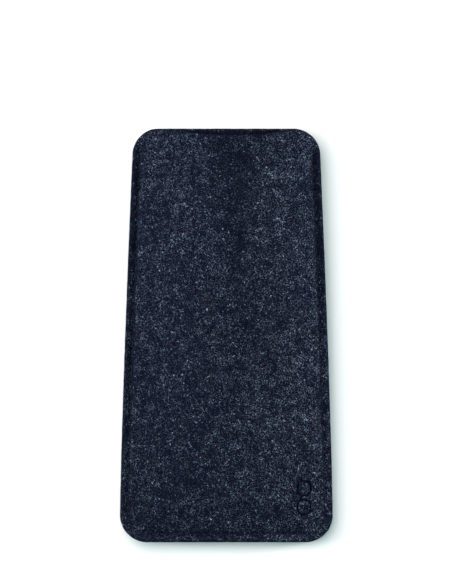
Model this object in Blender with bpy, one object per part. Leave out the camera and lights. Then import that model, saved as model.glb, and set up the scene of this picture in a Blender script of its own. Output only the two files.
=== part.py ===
"""Felt eyeglasses case: an open-topped sleeve of two thick felt panels, sewn together round three sides.

Metres, +Z up. The sleeve lies on its back panel with its mouth towards +Y. The origin is on the surface it
lies on, under the middle of its outline. Each panel is a slab with the sewn edge lying flat and the middle
shaped by the glasses it holds. The two threads of the lockstitch seam lie in the grooves that they pull into
the felt: the needle thread on the front, the bobbin thread on the back.
"""

import math

import bmesh
import bpy

# Driving dimensions
LENGTH = 0.180           # closed end to mouth
BASE_WIDTH = 0.0924      # widest, near the closed end
MOUTH_WIDTH = 0.0816     # at the start of the mouth's corners
CORNER_RADIUS = 0.0118   # all four corners, seen from the front
FELT = 0.003             # thickness of each panel
SEAM_INSET = 0.0035      # seam line to the cut edge
THREAD = 0.0006          # thread diameter
FRONT_RISE = 0.014       # how far the front panel bulges above its sewn edge at the mouth
EDGE_LIFT = 0.002        # how far the sewn edge stands off the table at the mouth
RIDGE_SHIFT = 0.006      # the front panel's ridge lies this far to the right of the middle
MOUTH_DIP = 0.0034       # the front panel's mouth edge is this much lower in its middle
MOUTH_PART = 0.002       # how far the unsewn mouth corners stand apart

# Details that follow from how felt is cut and sewn
FIT_GAP = 0.0003         # between the panels where they are sewn together
GROOVE_DEPTH = 0.0013    # how deep the seam pulls into the felt
GROOVE_HALF = 0.0015     # half the groove's width
THREAD_CLEAR = 0.0005    # between the thread and the bottom of its groove
TAPER_CURVE = 1.25       # the sides leave the widest place gently, then run nearly straight
WIDEST_AT = 0.013        # the widest place, from the closed end
FLAT_SHARE = 0.4         # this share of the back panel's half width lies flat on the table
DIP_REACH = 0.05         # the dip of the front's mouth edge fades out this far from the mouth
DIP_HALF = 0.036         # half the dip's width
RIDGE_ROUND = 0.7        # how round the ridge is, as a share of the half width

# The slab's grid: ring distances from the cut edge, then even columns and rows inside them
RINGS = (0.0, SEAM_INSET - GROOVE_HALF, SEAM_INSET, SEAM_INSET + GROOVE_HALF, 0.008, CORNER_RADIUS)
SEAM_RING = 2
CORNER_STEPS = len(RINGS) - 1
MIDDLE_COLUMNS = 8
MIDDLE_ROWS = 16
COLUMNS = 2 * CORNER_STEPS + MIDDLE_COLUMNS
ROWS = 2 * CORNER_STEPS + MIDDLE_ROWS

# Places that the dimensions give
CLOSED_END = -LENGTH / 2
MOUTH = LENGTH / 2
BASE_CORNER = CLOSED_END + CORNER_RADIUS
MOUTH_CORNER = MOUTH - CORNER_RADIUS
BOTTOM_SEAM = CLOSED_END + SEAM_INSET


def smooth(share):
    """0 to 1 with a gentle start and end."""
    share = min(max(share, 0.0), 1.0)
    return share * share * (3 - 2 * share)


def side_line(y):
    """Half the width of the outline, before its corners are rounded."""
    share = max((y - CLOSED_END - WIDEST_AT) / (MOUTH_CORNER - CLOSED_END - WIDEST_AT), 0.0)
    return BASE_WIDTH / 2 - (BASE_WIDTH - MOUTH_WIDTH) / 2 * share ** TAPER_CURVE


def seam_half_width(y):
    """Half the distance between the side seams, which turn round the corners of the closed end."""
    straight = side_line(y) - SEAM_INSET
    seam_radius = CORNER_RADIUS - SEAM_INSET
    below = min(max(BASE_CORNER - y, 0.0), seam_radius)
    return straight - seam_radius + math.sqrt(seam_radius ** 2 - below ** 2)


def along(y):
    """0 at the bottom seam, 1 at the mouth."""
    return min(max((y - BOTTOM_SEAM) / (MOUTH - BOTTOM_SEAM), 0.0), 1.0)


def fullness(y):
    """How full the sleeve is there: it fills soon after the bottom seam, then widens evenly to the mouth."""
    share = along(y)
    return 0.45 * (1 - math.exp(-share / 0.08)) + 0.55 * share ** 0.8


def edge_height(y):
    """Height of the plane where the two panels meet."""
    return FELT + EDGE_LIFT * along(y)


def across(x, y):
    """-1 at the left seam, 0 in the middle, 1 at the right seam."""
    return min(max(x / max(seam_half_width(y), 1e-6), -1.0), 1.0)


def back_inside(x, y):
    """Height of the back panel's inner face: flat on the table in the middle, then up to the sewn edge."""
    return FELT + EDGE_LIFT * along(y) * smooth((abs(across(x, y)) - FLAT_SHARE) / (1 - FLAT_SHARE))


def front_inside(x, y):
    """Height of the front panel's inner face: a rounded ridge with even flanks down to the sewn edge."""
    share = across(x, y)
    share = share - RIDGE_SHIFT / seam_half_width(y) * (1 - share * share)
    edge = math.hypot(1, RIDGE_ROUND)
    tent = (edge - math.hypot(share, RIDGE_ROUND)) / (edge - RIDGE_ROUND)
    parting = MOUTH_PART * smooth((y - MOUTH_CORNER) / CORNER_RADIUS) * share * share
    return edge_height(y) + FIT_GAP + parting + FRONT_RISE * fullness(y) * tent


def plan(column, row):
    """Plan position of a grid corner, and its ring. Rings follow the outline, and fan round its corners."""
    from_left, from_right = column, COLUMNS - column
    from_bottom, from_top = row, ROWS - row
    side = min(from_left, from_right)
    end = min(from_bottom, from_top)
    sign = -1 if from_left < from_right else 1
    is_base = from_bottom < from_top
    if side >= CORNER_STEPS or end >= CORNER_STEPS:
        if end < CORNER_STEPS:
            y = CLOSED_END + RINGS[end] if is_base else MOUTH - RINGS[end]
            width_row = BASE_CORNER if is_base else MOUTH_CORNER
        else:
            share = (row - CORNER_STEPS) / MIDDLE_ROWS
            y = width_row = BASE_CORNER + (MOUTH_CORNER - BASE_CORNER) * share
        if side < CORNER_STEPS:
            return sign * (side_line(width_row) - RINGS[side]), y, side
        share = 2 * (column - CORNER_STEPS) / MIDDLE_COLUMNS - 1
        return share * (side_line(width_row) - CORNER_RADIUS), y, min(side, end, CORNER_STEPS)
    ring = min(side, end)
    angle = math.pi / 4 * (1 + (end - side) / (CORNER_STEPS - ring))
    centre_y = BASE_CORNER if is_base else MOUTH_CORNER
    radius = CORNER_RADIUS - RINGS[ring]
    centre_x = side_line(centre_y) - CORNER_RADIUS
    x = centre_x + radius * math.sin(angle)
    y = centre_y + (-1 if is_base else 1) * radius * math.cos(angle)
    return sign * x, y, ring


def is_sewn(column, row):
    """Whether a grid corner lies on the seam, which ends where the mouth's corners begin."""
    ring = plan(column, row)[2]
    return ring == SEAM_RING and ROWS - row >= CORNER_STEPS


def steepness(height, x, y):
    """Vertical thickness of a slab over its true thickness, from the slope of its inner face."""
    step = 0.0002
    slope_x = (height(x + step, y) - height(x - step, y)) / (2 * step)
    slope_y = (height(x, y + step) - height(x, y - step)) / (2 * step)
    return math.sqrt(1 + slope_x ** 2 + slope_y ** 2)


def panel_corner(height, outward, column, row, is_outer):
    """Position of a corner of a panel's slab. outward is 1 for the front panel and -1 for the back."""
    x, y, ring = plan(column, row)
    z = height(x, y)
    if is_outer:
        depth = GROOVE_DEPTH if is_sewn(column, row) else 0.0
        z += outward * (FELT * steepness(height, x, y) - depth)
    if outward > 0:
        dip = MOUTH_DIP * max(1 - ((x - RIDGE_SHIFT / 2) / DIP_HALF) ** 2, 0.0) ** 1.5
        y -= dip * smooth((y - MOUTH + DIP_REACH) / DIP_REACH)
    return x, y, z


def felt_panel(name, height, outward, material):
    """A slab made in grid steps, whose corners are then moved to their places."""
    mesh = bpy.data.meshes.new(name)
    bm = bmesh.new()
    bmesh.ops.create_grid(bm, x_segments=COLUMNS, y_segments=ROWS, size=0.5)
    bmesh.ops.translate(bm, verts=bm.verts, vec=(0.5, 0.5, 0))
    bmesh.ops.scale(bm, verts=bm.verts, vec=(COLUMNS, ROWS, 1))
    raised = bmesh.ops.extrude_face_region(bm, geom=bm.faces[:], use_keep_orig=True)["geom"]
    bmesh.ops.translate(bm, verts=[v for v in raised if isinstance(v, bmesh.types.BMVert)], vec=(0, 0, 1))
    bmesh.ops.recalc_face_normals(bm, faces=bm.faces)
    if outward < 0:
        bmesh.ops.reverse_faces(bm, faces=bm.faces)
    for vert in bm.verts:
        column, row, layer = (round(value) for value in vert.co)
        vert.co = panel_corner(height, outward, column, row, layer == 1)
    bm.to_mesh(mesh)
    bm.free()
    mesh.set_sharp_from_angle(angle=math.radians(50))
    mesh.materials.append(material)
    panel = bpy.data.objects.new(name, mesh)
    bpy.context.scene.collection.objects.link(panel)
    return panel


def seam_corners():
    """Grid corners along the seam: down the left side, round the closed end and up the right side."""
    last_row = ROWS - CORNER_STEPS
    left = [(SEAM_RING, row) for row in range(last_row, SEAM_RING, -1)]
    bottom = [(column, SEAM_RING) for column in range(SEAM_RING, COLUMNS - SEAM_RING + 1)]
    right = [(COLUMNS - column, row) for column, row in reversed(left)]
    return left + bottom + right


def seam_thread(name, height, outward, material):
    """A thread of the lockstitch, lying in its groove."""
    curve = bpy.data.curves.new(name, "CURVE")
    curve.dimensions = "3D"
    curve.bevel_depth = THREAD / 2
    curve.bevel_resolution = 1
    curve.use_fill_caps = True
    corners = seam_corners()
    spline = curve.splines.new("POLY")
    spline.points.add(len(corners) - 1)
    for point, (column, row) in zip(spline.points, corners):
        x, y, z = panel_corner(height, outward, column, row, True)
        point.co = (x, y, z + outward * (THREAD / 2 + THREAD_CLEAR), 1)
    curve.materials.append(material)
    thread = bpy.data.objects.new(name, curve)
    bpy.context.scene.collection.objects.link(thread)
    return thread


def cloth_material(name, colour, roughness):
    material = bpy.data.materials.new(name)
    material.use_nodes = True
    shader = material.node_tree.nodes["Principled BSDF"]
    shader.inputs["Base Color"].default_value = (*colour, 1)
    shader.inputs["Roughness"].default_value = roughness
    shader.inputs["Metallic"].default_value = 0
    return material


def build():
    for obj in list(bpy.data.objects):
        bpy.data.objects.remove(obj)
    felt = cloth_material("navy_felt", (0.017, 0.023, 0.042), 0.95)
    thread = cloth_material("seam_thread", (0.006, 0.008, 0.014), 0.7)
    felt_panel("front_panel", front_inside, 1, felt)
    felt_panel("back_panel", back_inside, -1, felt)
    seam_thread("needle_thread", front_inside, 1, thread)
    seam_thread("bobbin_thread", back_inside, -1, thread)


build()
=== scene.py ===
"""Looks of a felt eyeglasses case: two thick felt panels with moulded edges, joined by a lockstitch seam.

Metres, +Z up. The sleeve lies on its back panel with its mouth towards +Y. Each panel is one fine slab, made
as a grid and then moved to its place: rings that follow the cut edge, and even rows inside them. The seam's
two threads are real strands that meet between the panels at each needle hole.
"""

import functools
import math

import bmesh
import bpy
import numpy as np
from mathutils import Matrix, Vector, noise


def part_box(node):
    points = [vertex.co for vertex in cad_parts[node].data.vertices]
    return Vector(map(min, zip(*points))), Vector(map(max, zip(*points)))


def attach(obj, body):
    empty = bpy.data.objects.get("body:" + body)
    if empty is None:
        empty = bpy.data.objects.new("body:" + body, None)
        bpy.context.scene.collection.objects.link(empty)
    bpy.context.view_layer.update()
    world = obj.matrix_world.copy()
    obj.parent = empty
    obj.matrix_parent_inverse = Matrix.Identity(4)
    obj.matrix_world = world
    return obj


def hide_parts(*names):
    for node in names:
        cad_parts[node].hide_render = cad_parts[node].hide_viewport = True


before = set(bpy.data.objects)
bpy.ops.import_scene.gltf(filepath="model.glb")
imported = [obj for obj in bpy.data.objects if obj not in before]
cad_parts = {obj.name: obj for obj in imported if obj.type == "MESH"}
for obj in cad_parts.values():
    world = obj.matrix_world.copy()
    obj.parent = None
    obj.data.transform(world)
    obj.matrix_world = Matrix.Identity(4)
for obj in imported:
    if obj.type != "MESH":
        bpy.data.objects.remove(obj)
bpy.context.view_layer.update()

# Sizes read from the frame
panel_low, panel_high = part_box("front_panel")
BASE_WIDTH = panel_high.x - panel_low.x
CLOSED_END = panel_low.y
MOUTH = panel_high.y

# The cut
MOUTH_WIDTH = 0.0816     # at the start of the mouth's corners
CORNER_RADIUS = 0.0118   # all four corners
FELT = 0.003             # thickness of each panel
SEAM_INSET = 0.0035      # seam line to the cut edge
FIT_GAP = 0.0003         # between the panels where they are sewn together
TAPER_CURVE = 1.25       # the sides leave the widest place gently, then run nearly straight
WIDEST_AT = 0.013        # the widest place, from the closed end

# The shape that the glasses give it
FRONT_RISE = 0.014       # the front bulges this far above its sewn edge at the mouth
EDGE_LIFT = 0.002        # the sewn edge stands this far off the table at the mouth
RIDGE_SHIFT = 0.006      # the ridge lies this far to the right of the middle
RIDGE_ROUND = 0.7        # how round the ridge is, as a share of the half width
FILL_SOON = 0.45         # this share of the bulge comes soon after the bottom seam,
FILL_REACH = 0.08        # over about this share of the length,
FILL_CURVE = 0.8         # and the rest grows with this power of the length
FLAT_SHARE = 0.4         # this share of the back's half width lies flat on the table
MOUTH_DIP = 0.0034       # the front's mouth edge is this much lower in its middle
DIP_HALF = 0.036         # half the dip's width
DIP_CURVE = 1.5          # above 1, the dip runs out gently at its sides
DIP_REACH = 0.05         # the dip fades out this far from the mouth
MOUTH_PART = 0.002       # the unsewn mouth corners stand this far apart

# The seam
STITCH = 0.00365         # needle hole to needle hole
THREAD = 0.00055         # thread diameter
THREAD_STANDS = 0.22     # its middle stands this share of its diameter above the groove's bottom
THREAD_LAY = 0.0016      # one full twist of the thread
PLIES = 3
PLY_SHARE = 0.14         # how far the plies stand out, as a share of the thread's radius
GROOVE_DEPTH = 0.00065   # the seam pulls the felt in this far
GROOVE_WIDE = 0.0011     # how far the pull spreads to each side
GROOVE_PAST = 0.002      # the groove runs on this far past the start of the mouth's corners
GROOVE_FADE = 0.003      # and fades out over this length
HOLE_DEPTH = 0.0007      # further down at each needle hole
HOLE_WIDE = 0.00055      # how far a hole's dimple spreads
PLUNGE_WIDE = 0.00033    # how narrow the thread's turn into a needle hole is
BACKTACK = 3             # stitches sewn back over the seam at each of its ends
BACKTACK_BESIDE = 0.0006 # they lie this far inside the first ones

# The cut edge and the surface
EDGE_ROUND = 0.0009      # how round the pressed cut edge is
EDGE_STEPS = 4           # rings on the rounded edge
FLAT_STEPS = 20          # rings from there to the corner's centre
MIDDLE_COLUMNS = 100     # even columns and rows of faces inside the rings
MIDDLE_ROWS = 230
WALL_STEPS = 6           # rows of faces through the thickness
SMALL_BUMPS = (0.00008, 0.0022)  # height and size of the felt's small bumps
BROAD_BUMPS = (0.00022, 0.016)   # and of its broad ones,
BUMPS_FADE = 0.006               # which fade out this close to the cut edge

# Painted shade: where pale fibres are taken away to darken the felt where it would lie in shade
PAINTED_SHADE_TAKES = 0.55        # painted shade of 1 takes away this share of them
RIDGE_SHADE = 0.8         # painted shade on the front, along a line near the ridge, which faces away from the low side lights
RIDGE_SHADE_AT = 0.0101   # that line crosses the middle of the length this far to the right,
RIDGE_SHADE_LEAN = 0.104  # leans to the left by this much per metre towards the mouth,
RIDGE_SHADE_WIDE = 0.0085 # and is shaded this far to each side,
RIDGE_SHADE_FROM = -0.035 # starting at this y
RIDGE_SHADE_FULL = 0.025  # and full from this one on
RIGHT_FLANGE_SHADE = 1           # painted shade outside the right seam, where the sewn edge tilts away into shade
LEFT_FLANGE_SHADE = 0.75         # and less of it outside the left seam
FLANGE_SHADE_FROM = -0.030  # both start at this y
FLANGE_SHADE_FULL = 0.040   # and are full from this one on,
FLANGE_SHADE_PAST = 0.003   # to this far past the start of the mouth's corners
FLANGE_SHADE_IN = 0.0009    # they reach this far inside the seam line
INSIDE_SHADE = 1.4        # painted shade on the pocket's inner faces, which lie in shade,
INSIDE_SHADE_FROM = 0.0003  # from this far in from the cut edge
RIM_SHADE = 0.8           # painted shade at the pressed cut edge, where it rounds away from the light
RIM_SHADE_WIDE = 0.0013   # and this far in from it
SHADE_EDGE = 0.001        # how soft the limits of the painted shade are

MOUTH_CORNER = MOUTH - CORNER_RADIUS
BASE_CORNER = CLOSED_END + CORNER_RADIUS
BOTTOM_SEAM = CLOSED_END + SEAM_INSET
RINGS = np.concatenate([
    EDGE_ROUND * (1 - np.cos(np.linspace(0, math.pi / 2, EDGE_STEPS + 1))),
    np.linspace(EDGE_ROUND, CORNER_RADIUS, FLAT_STEPS + 1)[1:],
])
CORNER_STEPS = len(RINGS) - 1
COLUMNS = 2 * CORNER_STEPS + MIDDLE_COLUMNS
ROWS = 2 * CORNER_STEPS + MIDDLE_ROWS


# ---- The sleeve's shape. Every function takes and gives numpy arrays. ----

def smooth(share):
    """0 to 1 with a gentle start and end."""
    share = np.clip(share, 0, 1)
    return share * share * (3 - 2 * share)


def fade_in(value, start, full):
    """0 below start, 1 above full, smooth between."""
    return smooth((value - start) / (full - start))


def side_line(y):
    """Half the width of the outline, before its corners are rounded."""
    share = np.maximum((y - CLOSED_END - WIDEST_AT) / (MOUTH_CORNER - CLOSED_END - WIDEST_AT), 0)
    return BASE_WIDTH / 2 - (BASE_WIDTH - MOUTH_WIDTH) / 2 * share ** TAPER_CURVE


def seam_half_width(y):
    """Half the distance between the side seams, which turn round the corners of the closed end."""
    seam_radius = CORNER_RADIUS - SEAM_INSET
    below = np.clip(BASE_CORNER - y, 0, seam_radius)
    return side_line(y) - SEAM_INSET - seam_radius + np.sqrt(seam_radius ** 2 - below ** 2)


def along(y):
    """0 at the bottom seam, 1 at the mouth."""
    return np.clip((y - BOTTOM_SEAM) / (MOUTH - BOTTOM_SEAM), 0, 1)


def across(x, y):
    """-1 at the left seam, 0 in the middle, 1 at the right seam."""
    return np.clip(x / np.maximum(seam_half_width(y), 1e-6), -1, 1)


def fullness(y):
    """How full the sleeve is: it fills soon after the bottom seam, then widens evenly to the mouth."""
    soon = 1 - np.exp(-along(y) / FILL_REACH)
    return FILL_SOON * soon + (1 - FILL_SOON) * along(y) ** FILL_CURVE


def back_inside(x, y):
    """Height of the back's inner face: flat on the table in the middle, then up to the sewn edge."""
    return FELT + EDGE_LIFT * along(y) * smooth((np.abs(across(x, y)) - FLAT_SHARE) / (1 - FLAT_SHARE))


def front_inside(x, y):
    """Height of the front's inner face: a rounded ridge with even flanks down to the sewn edge."""
    share = across(x, y)
    share = share - RIDGE_SHIFT / np.maximum(seam_half_width(y), 1e-6) * (1 - share ** 2)
    edge = math.hypot(1, RIDGE_ROUND)
    tent = (edge - np.hypot(share, RIDGE_ROUND)) / (edge - RIDGE_ROUND)
    parting = MOUTH_PART * smooth((y - MOUTH_CORNER) / CORNER_RADIUS) * share ** 2
    return FELT + EDGE_LIFT * along(y) + FIT_GAP + parting + FRONT_RISE * fullness(y) * tent


def plan(column, row):
    """Plan position and distance from the cut edge of places on the grid. Rings fan round the corners."""
    side = np.minimum(column, COLUMNS - column)
    end = np.minimum(row, ROWS - row)
    sign = np.where(column < COLUMNS / 2, -1.0, 1.0)
    at_base = row < ROWS / 2
    steps = np.arange(CORNER_STEPS + 1)
    side_ring = np.interp(side, steps, RINGS)
    end_ring = np.interp(end, steps, RINGS)
    share = np.clip((row - CORNER_STEPS) / MIDDLE_ROWS, 0, 1)
    width_row = BASE_CORNER + (MOUTH_CORNER - BASE_CORNER) * share
    y = np.where(at_base, CLOSED_END + end_ring, MOUTH - end_ring)
    y = np.where(end < CORNER_STEPS, y, width_row)
    inner = (2 * (column - CORNER_STEPS) / MIDDLE_COLUMNS - 1) * (side_line(width_row) - CORNER_RADIUS)
    x = np.where(side < CORNER_STEPS, sign * (side_line(width_row) - side_ring), inner)
    ring = np.minimum(side, end)
    distance = np.interp(ring, steps, RINGS)
    in_corner = (side < CORNER_STEPS) & (end < CORNER_STEPS)
    angle = math.pi / 4 * (1 + (end - side) / np.maximum(CORNER_STEPS - ring, 1e-6))
    corner_y = np.where(at_base, BASE_CORNER, MOUTH_CORNER)
    turn_x = side_line(corner_y) - CORNER_RADIUS + (CORNER_RADIUS - distance) * np.sin(angle)
    turn_y = corner_y + np.where(at_base, -1, 1) * (CORNER_RADIUS - distance) * np.cos(angle)
    return np.where(in_corner, sign * turn_x, x), np.where(in_corner, turn_y, y), distance


# ---- The seam line: down the left side, round the closed end and up the right side ----

SEAM_RADIUS = CORNER_RADIUS - SEAM_INSET
SEAM_SIDE = MOUTH_CORNER - BASE_CORNER
SEAM_TURN = SEAM_RADIUS * math.pi / 2
SEAM_CORNER_X = float(side_line(BASE_CORNER)) - CORNER_RADIUS
SEAM_LENGTH = 2 * (SEAM_SIDE + SEAM_TURN + SEAM_CORNER_X)
STITCHES = round(SEAM_LENGTH / STITCH)
PITCH = SEAM_LENGTH / STITCHES


def seam_run(x, y):
    """How far along the seam the nearest place on it is, from the seam's left end."""
    angle = np.arctan2(np.maximum(BASE_CORNER - y, 0), np.maximum(np.abs(x) - SEAM_CORNER_X, 1e-9))
    turned = SEAM_SIDE + SEAM_RADIUS * angle
    under = SEAM_SIDE + SEAM_TURN + np.maximum(SEAM_CORNER_X - np.abs(x), 0)
    run = np.where(y > BASE_CORNER, MOUTH_CORNER - y, np.where(np.abs(x) > SEAM_CORNER_X, turned, under))
    return np.where(x < 0, run, SEAM_LENGTH - run)


def seam_place(run, inset):
    """Plan position of the seam at a distance along it, moved inwards by inset."""
    half = np.minimum(run, SEAM_LENGTH - run)
    sign = np.where(run < SEAM_LENGTH / 2, -1.0, 1.0)
    angle = np.clip((half - SEAM_SIDE) / SEAM_RADIUS, 0, math.pi / 2)
    radius = SEAM_RADIUS - inset
    y = BASE_CORNER - radius * np.sin(angle) + np.maximum(SEAM_SIDE - half, 0)
    x = np.where(half < SEAM_SIDE, side_line(y) - SEAM_INSET - inset, SEAM_CORNER_X + radius * np.cos(angle))
    x = x - np.maximum(half - SEAM_SIDE - SEAM_TURN, 0)
    return sign * x, y


def bell(distance, width):
    """1 at no distance, falling off over about that width."""
    return np.exp(-(distance / width) ** 2)


def from_hole(run):
    """Distance along the seam to the nearest needle hole."""
    return np.abs((run / PITCH + 0.5) % 1 - 0.5) * PITCH


def seam_pull(x, y, distance):
    """How deep the seam pulls the felt in: a groove, and a dimple at each needle hole."""
    run = seam_run(x, y)
    ends = smooth((MOUTH_CORNER + GROOVE_PAST - y) / GROOVE_FADE)
    groove = GROOVE_DEPTH * bell(distance - SEAM_INSET, GROOVE_WIDE)
    holes = HOLE_DEPTH * bell(distance - SEAM_INSET, HOLE_WIDE) * bell(from_hole(run), HOLE_WIDE)
    return ends * (groove + holes)


# ---- The debossed mark: a plain pair of spectacles, turned to read from the side ----

MARK_X, MARK_Y = 0.0337, -0.0706
MARK_LINE = 0.0007       # width of the pressed line
MARK_SOFT = 0.0003       # width of its sloping sides
MARK_DEPTH = 0.0006
LENS_HALF_X, LENS_HALF_Y, LENS_ROUND = 0.0028, 0.0031, 0.0021
LENS_AT = 0.0041         # middle of a lens from the middle of the mark
BAR_AT = 0.0012          # the bridge and the temples lie this far to the left of the lenses' middle
TEMPLE_LONG = 0.0011


def mark_depth(x, y):
    """How deep the mark is pressed there, as a share of its full depth."""
    x, y = x - MARK_X, np.abs(y - MARK_Y)
    over_x = np.abs(x) - LENS_HALF_X + LENS_ROUND
    over_y = np.abs(y - LENS_AT) - LENS_HALF_Y + LENS_ROUND
    lens = np.hypot(np.maximum(over_x, 0), np.maximum(over_y, 0)) + np.minimum(np.maximum(over_x, over_y), 0)
    lens = np.abs(lens - LENS_ROUND)
    bridge = np.hypot(x + BAR_AT, np.maximum(y - LENS_AT + LENS_HALF_Y, 0))
    outer = LENS_AT + LENS_HALF_Y
    temple = np.hypot(x + BAR_AT, np.maximum(np.abs(y - outer - TEMPLE_LONG / 2) - TEMPLE_LONG / 2, 0))
    line = np.minimum(np.minimum(lens, bridge), temple)
    return 1 - smooth((line - MARK_LINE / 2) / MARK_SOFT + 0.5)


# ---- Panels ----

def steepness(height, x, y):
    """Vertical thickness of a slab over its true thickness, from the slope of its inner face."""
    step = 0.0004
    slope_x = (height(x + step, y) - height(x - step, y)) / (2 * step)
    slope_y = (height(x, y + step) - height(x, y - step)) / (2 * step)
    return np.sqrt(1 + slope_x ** 2 + slope_y ** 2)


def unevenness(points, size, seed):
    """Smooth random heights, about -1 to 1, whose bumps are about that size."""
    shift = Vector((seed * 7.3, seed * 3.1, seed * 5.7))
    return np.array([noise.noise(Vector(p) / size + shift) for p in points])


def slab(with_mark):
    """A slab in grid steps: x counts columns, y counts rows and z goes from 0 to 1 through the felt."""
    bm = bmesh.new()
    bmesh.ops.create_grid(bm, x_segments=COLUMNS, y_segments=ROWS, size=0.5)
    bmesh.ops.translate(bm, verts=bm.verts, vec=(0.5, 0.5, 0))
    bmesh.ops.scale(bm, verts=bm.verts, vec=(COLUMNS, ROWS, 1))
    raised = bmesh.ops.extrude_face_region(bm, geom=bm.faces[:], use_keep_orig=True)["geom"]
    top = [v for v in raised if isinstance(v, bmesh.types.BMVert)]
    bmesh.ops.translate(bm, verts=top, vec=(0, 0, 1))
    wall = [e for e in bm.edges if abs(e.verts[0].co.z - e.verts[1].co.z) > 0.5]
    bmesh.ops.subdivide_edges(bm, edges=wall, cuts=WALL_STEPS - 1, use_grid_fill=True)
    if with_mark:
        refine_mark(bm)
    bmesh.ops.recalc_face_normals(bm, faces=bm.faces)
    return bm


def is_outer(layer):
    """Whether a place in the slab is on its outer face."""
    return layer > 0.99


def refine_mark(bm):
    """Finer faces on the outer side where the mark is pressed."""
    margin = 0.001
    half_y = LENS_AT + LENS_HALF_Y + TEMPLE_LONG + margin
    centres = [face.calc_center_median() for face in bm.faces]
    x, y, _ = plan(np.array([c.x for c in centres]), np.array([c.y for c in centres]))
    near = (np.abs(x - MARK_X) < LENS_HALF_X + margin) & (np.abs(y - MARK_Y) < half_y)
    chosen = [f for f, c, is_near in zip(bm.faces, centres, near) if is_near and is_outer(c.z)]
    edges = list({edge for face in chosen for edge in face.edges})
    bmesh.ops.subdivide_edges(bm, edges=edges, cuts=3, use_grid_fill=True)


def slab_to_panel(grid, height, outward):
    """Places of the slab's points in the panel, and how deep the mark is pressed at each."""
    layer = grid[:, 2]
    x, y, distance = plan(grid[:, 0], grid[:, 1])
    into_round = np.maximum(EDGE_ROUND - distance, 0)
    rounding = EDGE_ROUND - np.sqrt(np.maximum(EDGE_ROUND ** 2 - into_round ** 2, 0))
    pressed = np.zeros(len(x))
    if outward > 0:
        pressed = mark_depth(x, y) * is_outer(layer)
    sunk = seam_pull(x, y, distance) * smooth(layer) + MARK_DEPTH * pressed
    inner = height(x, y) + outward * rounding
    outer = height(x, y) + outward * (FELT * steepness(height, x, y) - rounding - sunk)
    z = inner + (outer - inner) * layer
    if outward > 0:
        dip = MOUTH_DIP * np.maximum(1 - ((x - RIDGE_SHIFT / 2) / DIP_HALF) ** 2, 0) ** DIP_CURVE
        y = y - dip * smooth((y - MOUTH + DIP_REACH) / DIP_REACH)
    return x, y, z, distance, pressed


def painted_shade_share(x, y, distance, layer, outward):
    """Painted shade along the ridge, outside the seam, inside the pocket and at the cut edge: how many pale
    fibres to take away there.
    """
    # Painted shade along the ridge, which faces away from the low side lights
    from_line = x - (RIDGE_SHADE_AT - RIDGE_SHADE_LEAN * y)
    ridge = RIDGE_SHADE * bell(from_line, RIDGE_SHADE_WIDE) * fade_in(y, RIDGE_SHADE_FROM, RIDGE_SHADE_FULL)
    ridge = ridge * (is_outer(layer) & (outward > 0))
    # Painted shade on the tilted edge outside the seam
    past_seam = smooth((SEAM_INSET + FLANGE_SHADE_IN - distance) / SHADE_EDGE)
    past_seam = past_seam * fade_in(y, FLANGE_SHADE_FROM, FLANGE_SHADE_FULL) * (y < MOUTH_CORNER + FLANGE_SHADE_PAST)
    past_seam = past_seam * np.where(x < 0, LEFT_FLANGE_SHADE, RIGHT_FLANGE_SHADE)
    # Painted shade on the pocket's inner faces
    inside = INSIDE_SHADE * (layer < 0.5) * smooth((distance - INSIDE_SHADE_FROM) / SHADE_EDGE)
    # Painted shade at the rounded cut edge
    rim = RIM_SHADE * (1 - smooth(distance / RIM_SHADE_WIDE))
    return np.max([ridge, inside, past_seam, rim], axis=0)


def felt_panel(name, height, outward, seed):
    """A panel of the sleeve. outward is 1 for the front and -1 for the back."""
    bm = slab(with_mark=outward > 0)
    if outward < 0:
        bmesh.ops.reverse_faces(bm, faces=bm.faces)
    grid = np.array([v.co for v in bm.verts])
    x, y, z, distance, pressed = slab_to_panel(grid, height, outward)
    for vert, place in zip(bm.verts, np.stack([x, y, z], axis=1)):
        vert.co = place
    bm.normal_update()
    roughen(bm, distance, seed)
    mesh = bpy.data.meshes.new(name)
    bm.to_mesh(mesh)
    bm.free()
    mesh.shade_smooth()
    # Painted shade, kept on each point for the felt's material
    painted_shade = painted_shade_share(x, y, distance, grid[:, 2], outward)
    for title, values in (("pressed", pressed), ("painted_shade", painted_shade)):
        attribute = mesh.attributes.new(title, "FLOAT", "POINT")
        attribute.data.foreach_set("value", values.astype(np.float32))
    return finish_piece(name, mesh, "navy_felt")


def roughen(bm, distance, seed):
    """Moves each point a little along its normal, as felt is never quite even, but not into the table."""
    points = [tuple(v.co) for v in bm.verts]
    small, small_size = SMALL_BUMPS
    broad, broad_size = BROAD_BUMPS
    heights = small * unevenness(points, small_size, seed)
    heights = heights + broad * smooth(distance / BUMPS_FADE) * unevenness(points, broad_size, seed + 1)
    for vert, far in zip(bm.verts, heights):
        vert.co = vert.co + vert.normal * float(far)
        vert.co.z = max(vert.co.z, 0.0)


# ---- Threads ----

def thread_path(height, outward):
    """Points of a thread along the seam. It dives to the felt's inner face at each needle hole."""
    into_stitch = np.array([0, 0.02, 0.045, 0.075, 0.11, 0.16, 0.24, 0.36])
    out_of_stitch = np.array([0.5, 0.64, 0.76, 0.84, 0.89, 0.925, 0.955, 0.98])
    steps = np.concatenate([into_stitch, out_of_stitch])
    sewn = np.append((np.arange(STITCHES)[:, None] + steps[None, :]).ravel(), STITCHES)
    tacked = sewn[:BACKTACK * len(steps) + 1]
    run = np.concatenate([tacked[::-1], sewn, STITCHES - tacked]) * PITCH
    beside = np.concatenate([0 * tacked + 1, 0 * sewn, 0 * tacked + 1]) * BACKTACK_BESIDE
    x, y = seam_place(run, beside)
    surface = FELT * steepness(height, x, y) - seam_pull(x, y, SEAM_INSET + beside)
    plunge = bell(from_hole(run), PLUNGE_WIDE)
    z = height(x, y) + outward * (surface + THREAD * THREAD_STANDS) * (1 - plunge)
    return np.stack([x, y, z], axis=1)


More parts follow.
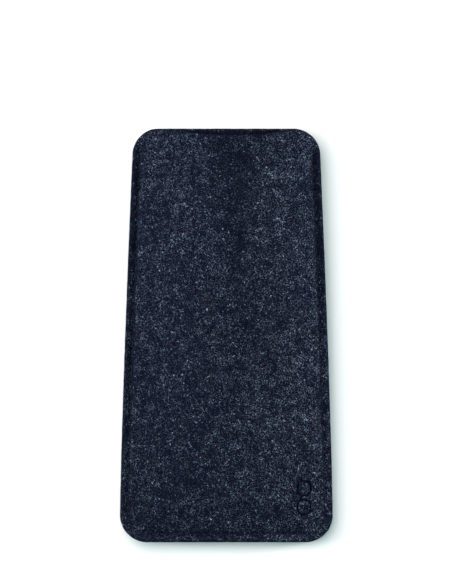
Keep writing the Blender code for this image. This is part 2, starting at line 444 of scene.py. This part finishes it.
def strand_profile():
    """The outline of a plied thread."""
    count = 12
    curve = bpy.data.curves.new("strand_profile", "CURVE")
    curve.dimensions = "2D"
    spline = curve.splines.new("POLY")
    spline.points.add(count - 1)
    for k, point in enumerate(spline.points):
        turn = 2 * math.pi * k / count
        radius = THREAD / 2 * (1 - PLY_SHARE + PLY_SHARE * math.cos(PLIES * turn))
        point.co = (radius * math.cos(turn), radius * math.sin(turn), 0, 1)
    spline.use_cyclic_u = True
    return bpy.data.objects.new("strand_profile", curve)


def seam_thread(name, height, outward):
    """One thread of the lockstitch, as a twisted strand."""
    points = thread_path(height, outward)
    curve = bpy.data.curves.new(name, "CURVE")
    curve.dimensions = "3D"
    curve.bevel_mode = "OBJECT"
    curve.bevel_object = strand_profile()
    curve.use_fill_caps = True
    spline = curve.splines.new("POLY")
    spline.points.add(len(points) - 1)
    far = np.concatenate([[0], np.cumsum(np.linalg.norm(np.diff(points, axis=0), axis=1))])
    for point, place, at in zip(spline.points, points, far):
        point.co = (*place, 1)
        point.tilt = 2 * math.pi * at / THREAD_LAY
    holder = bpy.data.objects.new(name + "_path", curve)
    bpy.context.scene.collection.objects.link(holder)
    bpy.context.view_layer.update()
    mesh = bpy.data.meshes.new_from_object(holder.evaluated_get(bpy.context.evaluated_depsgraph_get()))
    profile = curve.bevel_object
    bpy.data.objects.remove(holder)
    bpy.data.objects.remove(profile)
    mesh.name = name
    bm = bmesh.new()
    bm.from_mesh(mesh)
    bmesh.ops.remove_doubles(bm, verts=bm.verts, dist=1e-6)
    bmesh.ops.recalc_face_normals(bm, faces=bm.faces)
    bm.to_mesh(mesh)
    bm.free()
    mesh.shade_smooth()
    return finish_piece(name, mesh, "seam_thread")


def finish_piece(name, mesh, slot):
    piece = bpy.data.objects.new(name, mesh)
    bpy.context.scene.collection.objects.link(piece)
    mesh.materials.append(MATERIALS[slot]())
    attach(piece, "root")
    return piece


# ---- Materials ----

class Value:
    """A shader socket that holds a number. Arithmetic on it adds Math nodes."""

    def __init__(self, tree, socket):
        self.tree = tree
        self.socket = socket

    def math(self, operation, first, second=None):
        node = self.tree.add("ShaderNodeMath", {"operation": operation}, {0: first, 1: second})
        return Value(self.tree, node.outputs[0])

    def __add__(self, other):
        return self.math("ADD", self, other)

    __radd__ = __add__

    def __sub__(self, other):
        return self.math("SUBTRACT", self, other)

    def __rsub__(self, other):
        return self.math("SUBTRACT", other, self)

    def __mul__(self, other):
        return self.math("MULTIPLY", self, other)

    __rmul__ = __mul__

    def up_to(self, other):
        return self.math("MINIMUM", self, other)


class Tree:
    """The nodes of one material."""

    def __init__(self, name):
        self.material = bpy.data.materials.new(name)
        self.material.use_nodes = True
        self.nodes = self.material.node_tree.nodes
        self.links = self.material.node_tree.links
        self.shader = self.nodes["Principled BSDF"]

    def add(self, kind, settings, inputs):
        """A node of that kind, with its settings made first, then its inputs set or linked."""
        node = self.nodes.new(kind)
        for key, value in settings.items():
            setattr(node, key, value)
        for key, value in inputs.items():
            self.put(node.inputs[key], value)
        return node

    def put(self, socket, value):
        if isinstance(value, Value):
            self.links.new(value.socket, socket)
        elif isinstance(value, bpy.types.NodeSocket):
            self.links.new(value, socket)
        elif value is not None:
            socket.default_value = value

    def noise(self, where, scale, detail=0.0, roughness=0.5):
        inputs = {"Vector": where, "Scale": scale, "Detail": detail, "Roughness": roughness}
        node = self.add("ShaderNodeTexNoise", {}, inputs)
        return Value(self, node.outputs["Fac"])

    def ramp(self, value, low, high):
        """0 below low, 1 above high, smooth between."""
        settings = {"interpolation_type": "SMOOTHSTEP"}
        inputs = {"Value": value, "From Min": low, "From Max": high}
        node = self.add("ShaderNodeMapRange", settings, inputs)
        return Value(self, node.outputs["Result"])

    def mix(self, share, first, second):
        """The first colour at share 0, the second at 1."""
        settings = {"data_type": "RGBA"}
        node = self.add("ShaderNodeMix", settings, {"Factor": share, 6: first, 7: second})
        return node.outputs[2]

    def attribute(self, name):
        """The value that each point of the mesh holds under that name."""
        node = self.add("ShaderNodeAttribute", {"attribute_name": name}, {})
        return Value(self, node.outputs["Fac"])

    def vector(self, operation, inputs):
        return self.add("ShaderNodeVectorMath", {"operation": operation}, inputs).outputs[0]


def fibre_layers(tree, place, count, stretch, low, high, seed):
    """Pale streaks in many directions: noise drawn out along each in turn, of which only the peaks show."""
    total = 0.0
    for k in range(seed, seed + count):
        turn = math.pi * (k + 0.35 * math.sin(2.4 * k)) / count
        turned = tree.add(
            "ShaderNodeMapping", {"vector_type": "TEXTURE"},
            {
                "Vector": place,
                "Rotation": (0.3 * math.cos(k), 0.5 * math.sin(1.7 * k + 0.4), turn),
                "Location": (3.1 * k, 7.7 * k, 0),
            },
        ).outputs[0]
        drawn = tree.vector("MULTIPLY", {0: turned, 1: stretch})
        total = tree.ramp(tree.noise(drawn, 1.0), low, high) + total
    return total


# The felt's colours
BLACK_NAVY = (0.0013, 0.0018, 0.0073, 1)   # the darkest fibres
DARK_NAVY = (0.0045, 0.0060, 0.0170, 1)    # the fibres between them
DULL_NAVY = (0.0032, 0.0029, 0.0070, 1)    # patches with less blue in them
PRESSED_NAVY = (0.002, 0.0027, 0.0054, 1)  # the bottom of the mark
TEAL_FIBRE = (0.402, 0.540, 0.722, 1)      # the two tints of the pale fibres
GREY_FIBRE = (0.468, 0.517, 0.722, 1)


@functools.cache
def navy_felt():
    """Needled felt of dark navy fibres with pale ones mixed in, matted in every direction."""
    tree = Tree("navy_felt")
    place = tree.add("ShaderNodeTexCoord", {}, {}).outputs["Object"]
    in_mm = tree.vector("SCALE", {0: place, "Scale": 1000.0})
    # The fibres bend a little on their way
    wander = tree.add("ShaderNodeTexNoise", {}, {"Vector": in_mm, "Scale": 0.9, "Detail": 1.0})
    wander_mm = tree.vector("SCALE", {0: wander.outputs["Color"], "Scale": 1.1})
    bent = tree.vector("ADD", {0: in_mm, 1: wander_mm})
    # Thick pale fibres about 1.5 mm long, and fine ones about 1 mm long
    thick = fibre_layers(tree, bent, 5, (0.66, 3.2, 2.45), 0.745, 0.865, seed=0)
    fine = fibre_layers(tree, bent, 5, (1.05, 5.0, 3.8), 0.730, 0.845, seed=3)
    speckle = tree.noise(in_mm, 2.6, 1.0, 0.6)
    # Clusters a few millimetres wide, a slow change over the panel, and small bright spots
    patches = tree.ramp(tree.noise(in_mm, 0.24, 3.0, 0.7), 0.30, 0.72)
    broad = tree.noise(in_mm, 0.03, 1.0)
    bright_spots = tree.ramp(tree.noise(bent, 1.0, 1.0), 0.60, 0.78)
    pressed = tree.attribute("pressed")
    painted_shade = tree.attribute("painted_shade")
    fibres = (thick * 0.75 + 0.9 * fine).up_to(1.0)
    pale = fibres * (0.14 + 0.92 * patches) * (0.4 + 0.9 * broad)
    # Fewer pale fibres in the pressed mark, and fewer again as painted shade
    pale = pale * (1 - 0.95 * pressed) * (1 - PAINTED_SHADE_TAKES * painted_shade)
    pale = (pale * (0.68 + 3.3 * bright_spots)).up_to(1.0)
    ground = tree.mix(tree.ramp(speckle, 0.35, 0.7), BLACK_NAVY, DARK_NAVY)
    dull = tree.ramp(tree.noise(in_mm, 0.5, 2.0), 0.48, 0.68)
    ground = tree.mix(0.7 * dull, ground, DULL_NAVY)
    teal_or_grey = tree.ramp(tree.noise(bent, 0.5), 0.38, 0.62)
    fibre = tree.mix(teal_or_grey, TEAL_FIBRE, GREY_FIBRE)
    colour = tree.mix(pale, ground, fibre)
    colour = tree.mix(0.85 * pressed, colour, PRESSED_NAVY)
    tree.put(tree.shader.inputs["Base Color"], colour)
    tree.put(tree.shader.inputs["Roughness"], 0.96 - 0.15 * pressed)
    relief = fibres + 0.6 * speckle
    bump = tree.add("ShaderNodeBump", {}, {"Strength": 0.6, "Distance": 0.00018, "Height": relief})
    tree.put(tree.shader.inputs["Normal"], bump.outputs[0])
    tree.shader.inputs["Specular IOR Level"].default_value = 0.01
    tree.shader.inputs["Sheen Weight"].default_value = 0.008
    tree.shader.inputs["Sheen Roughness"].default_value = 0.45
    tree.shader.inputs["Sheen Tint"].default_value = (0.55, 0.65, 0.85, 1)
    return tree.material


@functools.cache
def seam_thread_finish():
    """Blue-black spun thread."""
    tree = Tree("seam_thread")
    place = tree.add("ShaderNodeTexCoord", {}, {}).outputs["Object"]
    fluff = tree.noise(place, 5200.0, 2.0)
    colour = tree.mix(fluff, (0.003, 0.004, 0.011, 1), (0.012, 0.016, 0.036, 1))
    tree.put(tree.shader.inputs["Base Color"], colour)
    tree.put(tree.shader.inputs["Roughness"], 0.55 + 0.25 * fluff)
    tree.shader.inputs["Specular IOR Level"].default_value = 0.08
    tree.shader.inputs["Sheen Weight"].default_value = 0.05
    tree.shader.inputs["Sheen Tint"].default_value = (0.5, 0.6, 0.9, 1)
    return tree.material


MATERIALS = {"navy_felt": navy_felt, "seam_thread": seam_thread_finish}


# ---- Stage ----

def floor():
    """A wide pale floor."""
    half_width = 3.0
    bm = bmesh.new()
    bmesh.ops.create_grid(bm, x_segments=1, y_segments=1, size=half_width)
    mesh = bpy.data.meshes.new("floor")
    bm.to_mesh(mesh)
    bm.free()
    ground = bpy.data.objects.new("floor", mesh)
    bpy.context.scene.collection.objects.link(ground)
    tree = Tree("floor")
    tree.put(tree.shader.inputs["Base Color"], (0.88, 0.88, 0.88, 1))
    tree.put(tree.shader.inputs["Roughness"], 0.9)
    mesh.materials.append(tree.material)


def softbox(name, azimuth, elevation, far, size, power, colour):
    """A square area light that looks at the sleeve. Azimuth 0 is towards +Y, and 90 towards +X."""
    light = bpy.data.lights.new(name, "AREA")
    light.shape = "SQUARE"
    light.size = size
    light.energy = power
    light.color = colour
    lamp = bpy.data.objects.new(name, light)
    turn, rise = math.radians(azimuth), math.radians(elevation)
    toward = Vector((math.sin(turn) * math.cos(rise), math.cos(turn) * math.cos(rise), math.sin(rise)))
    lamp.location = toward * far
    lamp.rotation_euler = toward.to_track_quat("Z", "Y").to_euler()
    bpy.context.scene.collection.objects.link(lamp)


def studio():
    """A large soft key from the left, a low light at each side, and a faint blue-green fill all round."""
    scene = bpy.context.scene
    scene.view_settings.view_transform = "Standard"
    world = bpy.data.worlds.new("studio")
    world.use_nodes = True
    fill = world.node_tree.nodes["Background"]
    fill.inputs["Color"].default_value = (0.33, 1.0, 0.98, 1)
    fill.inputs["Strength"].default_value = 0.33
    scene.world = world
    softbox("key", azimuth=-50, elevation=53, far=3.2, size=4.4, power=184, colour=(1.0, 0.84, 0.84))
    softbox("left_side", azimuth=-92, elevation=10, far=1.2, size=0.3, power=16, colour=(0.9, 1.0, 1.0))
    softbox("right_side", azimuth=80, elevation=10, far=1.2, size=0.3, power=18, colour=(1.0, 0.97, 0.97))


def camera():
    """Straight above. The sleeve stands low in a tall frame, so the camera stands towards the mouth."""
    far = 3.0
    frame_height = 0.2533    # what the picture's taller side takes in, at the height of the felt
    felt_height = 0.010
    data = bpy.data.cameras.new("camera")
    data.sensor_width = 36
    data.lens = data.sensor_width * (far - felt_height) / frame_height
    data.clip_end = 20
    eye = bpy.data.objects.new("camera", data)
    eye.location = (-0.00015, 0.0187, far)
    bpy.context.scene.collection.objects.link(eye)
    bpy.context.scene.camera = eye


camera()
studio()
floor()
front = felt_panel("front_felt", front_inside, 1, seed=1)
back = felt_panel("back_felt", back_inside, -1, seed=5)
needle = seam_thread("needle_stitches", front_inside, 1)
bobbin = seam_thread("bobbin_stitches", back_inside, -1)
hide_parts("front_panel")
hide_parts("back_panel")
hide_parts("needle_thread")
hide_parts("bobbin_thread")
